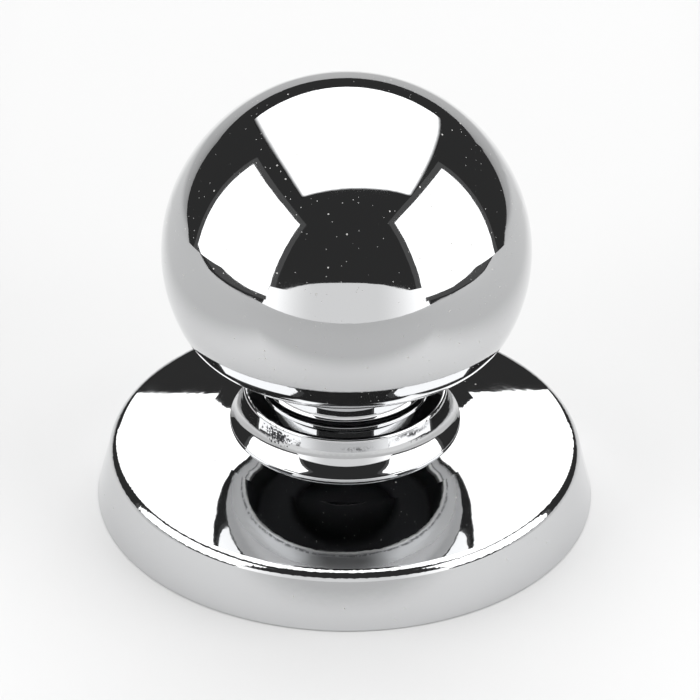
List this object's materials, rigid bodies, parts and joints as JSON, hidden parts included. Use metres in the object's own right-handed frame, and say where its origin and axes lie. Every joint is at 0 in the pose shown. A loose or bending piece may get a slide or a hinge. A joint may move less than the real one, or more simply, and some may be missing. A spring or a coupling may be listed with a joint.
{
  "type": "ball knob",
  "caption": "Ball knob on a short neck and stepped collar, standing on a separate round, gently coned backplate, for a drawer or door.",
  "frame": {"origin": "middle of the backplate's lower rim, where it meets the furniture", "axes": "+Z along the knob's axis, out of the furniture towards the ball's crown"},
  "size_m": [0.038, 0.038, 0.0356],
  "materials": {
    "knob_chrome": "polished",
    "backplate_chrome": "polished"
  },
  "bodies": {
    "root": {"knob": "knob_chrome", "backplate": "backplate_chrome"}
  },
  "joints": []
}
